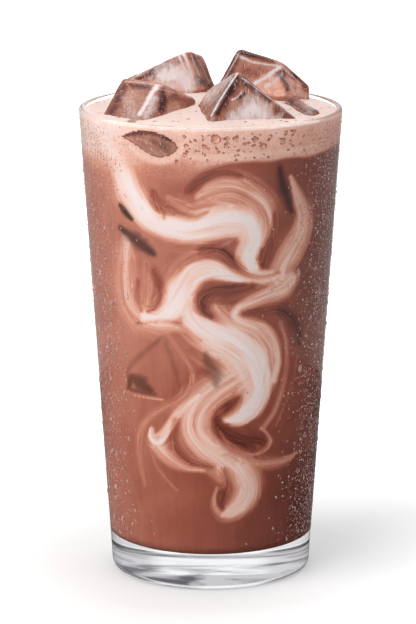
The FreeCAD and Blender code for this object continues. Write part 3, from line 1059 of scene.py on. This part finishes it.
def make_cocoa():
    look = looks()
    body = lathe("cocoa_body", cocoa_outline(), round(math.tau * DRINK_ARC / look.grain))
    co = points_of(body)
    bearing, z, radial = round_axis(co)
    top = foam_level() - look.foam_depth
    wall = (radial > inner_radius(z) - 0.3) & (z > sizes().floor + 4)
    share = smoothstep(top - 26, top, z) * smoothstep(0.55, 0.98, radial / inner_radius(top))
    co[:, 2] += sag(bearing, share) * MM
    co[wall] = on_wall(co[wall], look.reach)
    move_points(body, co)
    body.data.set_sharp_from_angle(angle=SEAM_ANGLE)
    z = co[:, 2] / MM
    milk, across, strength, dark = paint_wall(co, bearing, z)
    light, foam = foam_on_wall(co, bearing, z)
    write_attribute(body, "milk", milk + (light - milk) * foam)
    write_attribute(body, "across", across)
    write_attribute(body, "streak", strength * (1 - foam))
    write_attribute(body, "froth", foam * 0.8)
    # The painted shade of the sunk ice, kept off the foam.
    write_attribute(body, "dark", dark * (1 - foam))
    body.data.materials.append(drink_material())
    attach(body, "root")
    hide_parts("cocoa")


def foam_outline():
    look = looks()
    level = foam_level()
    bottom = level - look.foam_depth
    start = (inner_radius(bottom) + look.reach, bottom)
    end = (inner_radius(level) + look.reach, level)
    points = straight((0, bottom), start, 4.0)
    points += straight(start, end, 0.45) + [end]
    return points + dome(end, look.foam_rise, 80)


def make_foam():
    look = looks()
    foam = lathe("foam_layer", foam_outline(), 384)
    co = points_of(foam)
    bearing, z, radial = round_axis(co)
    level = foam_level()
    depth = np.clip((level - z) / look.foam_depth, 0, 1)
    side = (radial > inner_radius(z) - 0.01) & (z < level + 0.001)
    under = ~side & (z < level - look.foam_depth + 0.1)
    share = np.where(side, depth, np.where(under, smoothstep(0.55, 0.98, radial / 38.5), 0))
    co[:, 2] += sag(bearing, share) * MM
    co[side] = on_wall(co[side], look.reach)
    relief = 0.22 * soft_noise(co, 7, 3) + 0.10 * soft_noise(co, 2.4, 4)
    co[:, 2] += np.where(z > level + 0.02, relief * smoothstep(39.5, 36, radial), 0) * MM
    move_points(foam, co)
    foam.data.set_sharp_from_angle(angle=SEAM_ANGLE)
    light, share = foam_on_wall(co, bearing, co[:, 2] / MM)
    milk = light.copy()
    seen_side = np.nonzero(side & (share < 0.98))[0]
    milk[seen_side] = paint_wall(co[seen_side], bearing[seen_side], z[seen_side])[0]
    top = smoothstep(level - 0.6, level + 0.2, z)
    pale = 0.87 + 0.05 * soft_noise(co, 9, 14)
    blended = milk + (light - milk) * np.maximum(share, 0.35)
    write_attribute(foam, "milk", blended + (pale - blended) * top)
    write_attribute(foam, "froth", np.maximum(share, top))
    foam.data.materials.append(foam_material())
    foam.data.materials.append(hollow_material("wet foam", (0.66, 0.34, 0.23)))
    foam.data.materials.append(hollow_material("cocoa round the ice", (0.26, 0.085, 0.058)))
    burst_bubbles(foam)
    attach(foam, "root")
    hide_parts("foam")


def wall_bubbles(random):
    """Bubbles behind the glass, the named ones and small ones between: bearing, height and
    radius."""
    spots = [(float(seen_bearing(across, z)), z, radius) for across, z, radius in WALL_BUBBLES]
    while len(spots) < WALL_BUBBLE_COUNT:
        across = random.normal(3, 14)
        z = random.uniform(139.6, 147.6)
        radius = 0.15 + 0.24 * random.rand() ** 2
        if abs(across) > 37 or -27 < across < -8:
            continue
        bearing = float(seen_bearing(across, z))
        if all(math.hypot((bearing - b) * FOAM_ARC, z - h) > radius + r + 0.25
               for b, h, r in spots):
            spots.append((bearing, z, radius))
    return spots


def top_bubbles(random):
    """Open bubbles on top of the foam: place and radius."""
    tops = []
    while len(tops) < TOP_BUBBLE_COUNT:
        bearing = random.uniform(0, math.tau)
        out = 38.4 * math.sqrt(random.rand())
        radius = 0.22 + 0.42 * random.rand() ** 3
        x, y = out * math.sin(bearing), -out * math.cos(bearing)
        if all(math.hypot(x - u, y - v) > radius + r + 0.3 for u, v, r in tops):
            tops.append((x, y, radius))
    return tops


def burst_bubbles(foam):
    """Hollows of bubbles against the wall and open ones on top."""
    random = np.random.RandomState(11)
    balls = []
    for bearing, z, radius in wall_bubbles(random):
        ball = radius * 1.06
        out = inner_radius(z) + looks().reach + 0.3 * ball
        balls.append((out * math.sin(bearing), -out * math.cos(bearing), z, ball))
    for x, y, radius in top_bubbles(random):
        rise = looks().foam_rise * (1 - (x * x + y * y) / inner_radius(foam_level()) ** 2)
        balls.append((x, y, foam_level() + rise + radius * 0.35, radius))
    bm = bmesh.new()
    bmesh.ops.create_icosphere(bm, subdivisions=2, radius=1)
    form, triangles = form_arrays(bm)
    cutter = joined("bubbles", [form * ball[3] + ball[:3] for ball in np.array(balls)],
                    triangles)
    cutter.data.materials.append(foam.data.materials[1])
    cut(foam, cutter)


# --- Ice ---------------------------------------------------------------------------------


def from_front(co):
    """Points as they lie from the fixed point in front, in mm at one metre: across and up."""
    back = co[:, 1] + FRONT_DISTANCE
    up = co[:, 2] - FRONT_HEIGHT
    ahead = back * math.cos(FRONT_SLOPE) - up * math.sin(FRONT_SLOPE)
    rise = back * math.sin(FRONT_SLOPE) + up * math.cos(FRONT_SLOPE)
    return co[:, 0] / ahead / MM, rise / ahead / MM


def to_span(x, y, start, end):
    """Distance of points from a straight span."""
    dx, dy = end[0] - start[0], end[1] - start[1]
    t = np.clip(((x - start[0]) * dx + (y - start[1]) * dy) / (dx * dx + dy * dy), 0, 1)
    return np.hypot(x - start[0] - t * dx, y - start[1] - t * dy)


def marks(co, runs):
    """Strength of marks at points, from their runs as laid from the front."""
    across, up = from_front(co)
    ragged = 1 + 0.35 * soft_noise(co, 2.2, 70) + 0.25 * soft_noise(co, 0.9, 71)
    total = np.zeros(len(co))
    for strong, half_width, points in runs:
        nearest = np.min([to_span(across, up, start, end)
                          for start, end in zip(points, points[1:])], axis=0)
        total = np.maximum(total, strong * np.exp(-(nearest * ragged / half_width) ** 2))
    return total


def remeshed(node, name):
    """Closed copy of a CAD node with even faces and softened edges."""
    bm = bmesh.new()
    bm.from_mesh(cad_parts[node].data)
    bmesh.ops.remove_doubles(bm, verts=bm.verts, dist=2e-6)
    obj = finished(name, bm)
    remesh = obj.modifiers.new("even faces", "REMESH")
    remesh.mode = "VOXEL"
    remesh.voxel_size = 0.38 * MM
    remesh.use_smooth_shade = True
    smooth = obj.modifiers.new("melted", "SMOOTH")
    smooth.factor = 0.5
    smooth.iterations = 5
    return settled(obj)


def bare_share(co):
    """1 where ice lies bare against the glass, 0 where foam comes between."""
    outline = [(float(seen_bearing(x, z)) * WALL_ARC, z) for x, z in BARE_ICE]
    bearing, y, _ = round_axis(co)
    x = bearing * WALL_ARC
    inside = np.zeros(len(x), bool)
    spans = list(zip(outline, outline[1:] + outline[:1]))
    for (x0, y0), (x1, y1) in spans:
        crosses = (y0 > y) != (y1 > y)
        inside ^= crosses & (x < (x1 - x0) * (y - y0) / (y1 - y0 + 1e-12) + x0)
    nearest = np.min([to_span(x, y, *span) for span in spans], axis=0)
    return smoothstep(-0.3, 0.3, np.where(inside, nearest, -nearest))


def edge_share(obj):
    """1 on convex ridges and 0 on flats, from how far points stand above their neighbours."""
    co = points_of(obj)
    mean = co.copy()
    edges = np.empty(len(obj.data.edges) * 2, np.int32)
    obj.data.edges.foreach_get("vertices", edges)
    a, b = edges.reshape(-1, 2).T
    count = np.maximum(np.bincount(edges, minlength=len(co)), 1)[:, None]
    for _ in range(6):
        total = np.zeros_like(co)
        np.add.at(total, a, mean[b])
        np.add.at(total, b, mean[a])
        mean = total / count
    height_above = np.einsum("ij,ij->i", co - mean, normals_of(obj)) / MM
    return smoothstep(0.05, 0.30, height_above)


def make_ice(node, number, material):
    """A melting block: hollowed faces and soft ridges, and its foot just into the wall."""
    block = remeshed(node, node.replace("ice_", "ice_block_"))
    co = points_of(block)
    shift = (0.30 * soft_noise(co, 8, 20 + number) + 0.16 * soft_noise(co, 3.5, 40 + number)
             + 0.06 * soft_noise(co, 1.5, 60 + number))
    shift += RAISED_ICE.get(node, 0.0)
    co = co + normals_of(block) * (shift * MM)[:, None]
    _, z, radial = round_axis(co)
    limit = inner_radius(z)
    target = limit - 0.9 + 0.98 * bare_share(co)
    co = drawn_out(co, np.where(radial > limit - 0.8, np.minimum(
        target, np.maximum(radial, limit)) / radial, 1))
    move_points(block, co)
    write_attribute(block, "edge", edge_share(block))
    write_attribute(block, "frost", marks(co, FROST[node]))
    write_attribute(block, "shade", marks(co, SHADE[node]))
    block.data.materials.append(material)
    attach(block, "root")
    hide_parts(node)
    return block


def cut_for_ice(foam, blocks):
    """Hollows in the foam where the ice sits, a little inside the ice."""
    for block in blocks:
        cutter = shown("hollow", block.data.copy())
        co = points_of(cutter)
        _, z, radial = round_axis(co)
        limit = inner_radius(z)
        co = co - normals_of(cutter) * (0.18 * MM)
        co = drawn_out(co, np.where(radial > limit - 0.2,
                                    (limit + 0.7) / np.maximum(radial, 1e-6), 1))
        move_points(cutter, co)
        cutter.data.materials.clear()
        cutter.data.materials.append(foam.data.materials[2])
        cut(foam, cutter)


# --- Dew ---------------------------------------------------------------------------------


def drop_form(subdivisions):
    """Points and triangles of a round drop with a flat back: z is away from the wall."""
    bm = bmesh.new()
    bmesh.ops.create_icosphere(bm, subdivisions=subdivisions, radius=1)
    whole = bm.verts[:] + bm.edges[:] + bm.faces[:]
    bmesh.ops.bisect_plane(bm, geom=whole, plane_co=(0, 0, -0.05), plane_no=(0, 0, -1),
                           clear_outer=True)
    bmesh.ops.holes_fill(bm, edges=bm.edges, sides=0)
    return form_arrays(bm)


def make_drops(name, drops, subdivisions, material):
    """Many drops on the outer wall in one mesh: bearing, height, half width, half height and
    how far each stands out. Long ones are narrow at the top."""
    form, triangles = drop_form(subdivisions)
    copies = []
    for bearing, z, half_width, half_height, out in drops:
        narrow = 1 - 0.35 * np.clip(form[:, 1], 0, 1) * (half_height / half_width > 1.15)
        height_here = z + form[:, 1] * half_height
        turn = bearing + form[:, 0] * half_width * narrow / outer_radius(z)
        radius = outer_radius(height_here) - 0.03 + np.maximum(form[:, 2], -0.05) * out
        copies.append(np.stack([radius * np.sin(turn), -radius * np.cos(turn), height_here], 1))
    obj = joined(name, copies, triangles)
    obj.data.materials.append(material)
    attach(obj, "root")


def scatter(random, count, near, spread, heights, radii, taken):
    """Drops strewn on the wall about a bearing, clear of each other and of those taken. A net
    of cells finds a drop's neighbours."""
    cells = {}

    def cell_of(bearing, z):
        return round(bearing * WALL_ARC / CELL), round(z / CELL)

    for drop in taken:
        cells.setdefault(cell_of(*drop[:2]), []).append(drop)
    drops = []
    for _ in range(count * 12):
        if len(drops) == count:
            break
        bearing = near + spread * random.normal()
        z = random.uniform(*heights)
        radius = radii[0] + (radii[1] - radii[0]) * random.rand() ** 3
        column, row = cell_of(bearing, z)
        beside = [drop for i in (-1, 0, 1) for j in (-1, 0, 1)
                  for drop in cells.get((column + i, row + j), ())]
        if all(math.hypot((bearing - b) * WALL_ARC, z - h) >= (radius + r) * 1.05
               for b, h, r in beside):
            drops.append((bearing, z, radius))
            cells.setdefault((column, row), []).append(drops[-1])
    return drops


def make_dew():
    material = dew_material()
    random = np.random.RandomState(5)
    placed = [(math.asin(max(-0.99, min(0.99, across / outer_radius(z)))), z, radius)
              for across, z, radius in DROPS]
    medium = []
    for _, _, near, spread in MISTS:
        medium += scatter(random, 210, near, spread * 1.2, (13.5, 146), (0.3, 0.62),
                          placed + medium)
    make_drops("dew_drops", [(b, z, r, r * (1.25 + 0.5 * random.rand() * (r > 0.5)), r * 0.55)
                             for b, z, r in placed + medium], 2, material)
    for name, count, near, spread in MISTS:
        mist = scatter(random, count, near, spread, (12.5, 148), (0.15, 0.36), placed + medium)
        make_drops(name, [(b, z, r, r * 1.1, r * 0.6) for b, z, r in mist], 1, material)


# --- Stage -------------------------------------------------------------------------------


def disc(name, radius, z, material):
    """Flat round piece at a height, in metres."""
    bm = bmesh.new()
    bmesh.ops.create_circle(bm, cap_ends=True, segments=96, radius=radius)
    bmesh.ops.translate(bm, verts=bm.verts, vec=(0, 0, z))
    obj = finished(name, bm)
    obj.data.materials.append(material)
    return obj


def floor_material():
    """White table that shows its shadow softly and is white where it is lit."""
    material, tree = new_material("white table")
    matt = tree.add("BsdfDiffuse", Color=(0.86, 0.86, 0.86)).outputs[0]
    far = tree.add("VectorMath", tree.place())
    far.operation = "LENGTH"
    fade = tree.span(far.outputs["Value"], 0.05, 0.30, 0.12, 1.0)
    glow = tree.add("Emission", Color=WHITE,
                    Strength=tree.times(tree.straight_view(), fade)).outputs[0]
    matt_or_wet(tree, tree.add("AddShader", matt, glow).outputs[0])
    return material


def drapes_material():
    """Dark cloth, open behind the glass and fading at its edges."""
    material, tree = new_material("drapes")
    x, y, z = tree.add("SeparateXYZ", tree.place()).outputs
    aside = tree.span(tree.math("ABSOLUTE", x, 0), 0.055, 0.11, 0.0, 0.85, smooth=True)
    front = tree.span(y, 0.0, -0.12, 0.0, 0.8, smooth=True)
    share = tree.times(tree.math("MAXIMUM", aside, front),
                       tree.span(z, 0.43, 0.26, smooth=True))
    glow = tree.add("Emission", Color=(0.10, 0.095, 0.10)).outputs[0]
    matt_or_wet(tree, tree.blend(tree.times(share, tree.straight_view()),
                                 tree.add("BsdfTransparent").outputs[0], glow))
    return material


def mat_material():
    """Dark mat that only shine on the glass shows."""
    material, tree = new_material("dark mat")
    tone = tree.ramp(tree.noise(tree.place(), 8.0, 1), (
        (0.3, (0.09, 0.085, 0.09)), (0.7, (0.13, 0.12, 0.125))))
    glow = tree.add("Emission", Color=tone).outputs[0]
    matt_or_wet(tree, tree.blend(tree.straight_view(),
                                 tree.add("BsdfTransparent").outputs[0], glow))
    return material


def add_surround():
    """Dark drapes and a dark mat round the glass, which only shine and glass show: they give
    the glass its edges."""
    bm = bmesh.new()
    bmesh.ops.create_cone(bm, segments=96, radius1=DRAPE_RADIUS, radius2=DRAPE_RADIUS,
                          depth=DRAPE_HEIGHT)
    bmesh.ops.translate(bm, verts=bm.verts, vec=(0, 0, DRAPE_HEIGHT / 2))
    drape = finished("drapes", bm)
    drape.data.materials.append(drapes_material())
    mat = disc("dark_mat", MAT_RADIUS, FLOOR_GAP, mat_material())
    mat.visible_transmission = False
    for piece in (drape, mat):
        piece.visible_camera = False
        piece.visible_diffuse = False
        piece.visible_shadow = False


def add_lamp(name, place, aim, size, power):
    lamp = shown(name, bpy.data.lights.new(name, "AREA"))
    lamp.data.size = size
    lamp.data.energy = power
    lamp.location = place
    lamp.rotation_euler = (Vector(aim) - Vector(place)).to_track_quat("-Z", "Y").to_euler()


def make_world(ambient):
    """Even light on the drink, and a white view behind it that is greyer towards the front."""
    world = bpy.data.worlds.new("studio")
    bpy.context.scene.world = world
    tree = Wiring(world)
    _, toward, _ = tree.add("SeparateXYZ", tree.add("TexCoord").outputs["Generated"]).outputs
    front = tree.span(toward, -0.75, 0.4, 0.3, 1.0, smooth=True)
    even = tree.add("Background", Color=WHITE, Strength=ambient).outputs[0]
    white = tree.add("Background", Color=WHITE, Strength=front).outputs[0]
    tree.add("OutputWorld", Surface=tree.blend(tree.straight_view(), even, white))


def make_stage():
    scene = bpy.context.scene
    settings = scene.cocoa_stage
    camera = shown("camera", bpy.data.cameras.new("camera"))
    camera.data.lens = settings.lens
    camera.data.sensor_width = 36
    camera.data.shift_x = settings.shift
    camera.data.clip_start = 0.01
    camera.location = (0, -settings.distance, settings.height)
    camera.rotation_euler = (math.pi / 2 - settings.pitch, 0, 0)
    scene.camera = camera
    floor = disc("floor", 3.0, -FLOOR_GAP, floor_material())
    add_surround()
    for lamp in LAMPS:
        add_lamp(*lamp)
    make_world(settings.ambient)
    scene.view_settings.view_transform = "Standard"


# --- Operators and panel -----------------------------------------------------------------


class COCOA_OT_tumbler(bpy.types.Operator):
    """Turn the clear glass on its axis"""
    bl_idname = "cocoa.tumbler"
    bl_label = "Tumbler"

    def execute(self, context):
        make_tumbler()
        return {"FINISHED"}


class COCOA_OT_cocoa(bpy.types.Operator):
    """Fill the glass with cocoa and lay the milk on its wall"""
    bl_idname = "cocoa.cocoa"
    bl_label = "Cocoa"

    def execute(self, context):
        make_cocoa()
        return {"FINISHED"}


class COCOA_OT_foam(bpy.types.Operator):
    """Spread the foam"""
    bl_idname = "cocoa.foam"
    bl_label = "Foam"

    def execute(self, context):
        make_foam()
        return {"FINISHED"}


class COCOA_OT_ice(bpy.types.Operator):
    """Melt the blocks of ice and sink them into the foam"""
    bl_idname = "cocoa.ice"
    bl_label = "Ice"

    def execute(self, context):
        material = ice_material()
        blocks = [make_ice(node, i, material) for i, node in enumerate(ICE_NODES)]
        cut_for_ice(bpy.data.objects["foam_layer"], blocks)
        return {"FINISHED"}


class COCOA_OT_dew(bpy.types.Operator):
    """Strew the dew on the outside"""
    bl_idname = "cocoa.dew"
    bl_label = "Dew"

    def execute(self, context):
        make_dew()
        return {"FINISHED"}


class COCOA_OT_stage(bpy.types.Operator):
    """Set the camera, the table and the light"""
    bl_idname = "cocoa.stage"
    bl_label = "Stage"

    def execute(self, context):
        make_stage()
        return {"FINISHED"}


class COCOA_PT_panel(bpy.types.Panel):
    """Every step of the drink"""
    bl_label = "Iced cocoa"
    bl_idname = "COCOA_PT_panel"
    bl_space_type = "VIEW_3D"
    bl_region_type = "UI"
    bl_category = "Iced cocoa"

    def draw(self, context):
        for operator in OPERATORS:
            self.layout.operator(operator.bl_idname)


OPERATORS = (COCOA_OT_tumbler, COCOA_OT_cocoa, COCOA_OT_foam, COCOA_OT_ice, COCOA_OT_dew,
             COCOA_OT_stage)
CLASSES = (TumblerSizes, DrinkLooks, StageSettings, *OPERATORS, COCOA_PT_panel)


def register():
    for item in CLASSES:
        bpy.utils.register_class(item)
    bpy.types.Scene.cocoa_tumbler = PointerProperty(type=TumblerSizes)
    bpy.types.Scene.cocoa_drink = PointerProperty(type=DrinkLooks)
    bpy.types.Scene.cocoa_stage = PointerProperty(type=StageSettings)


def unregister():
    del bpy.types.Scene.cocoa_stage
    del bpy.types.Scene.cocoa_drink
    del bpy.types.Scene.cocoa_tumbler
    for item in reversed(CLASSES):
        bpy.utils.unregister_class(item)


def main():
    register()
    bpy.ops.cocoa.tumbler()
    bpy.ops.cocoa.cocoa()
    bpy.ops.cocoa.foam()
    bpy.ops.cocoa.ice()
    bpy.ops.cocoa.dew()
    bpy.ops.cocoa.stage()


if __name__ == "__main__":
    main()
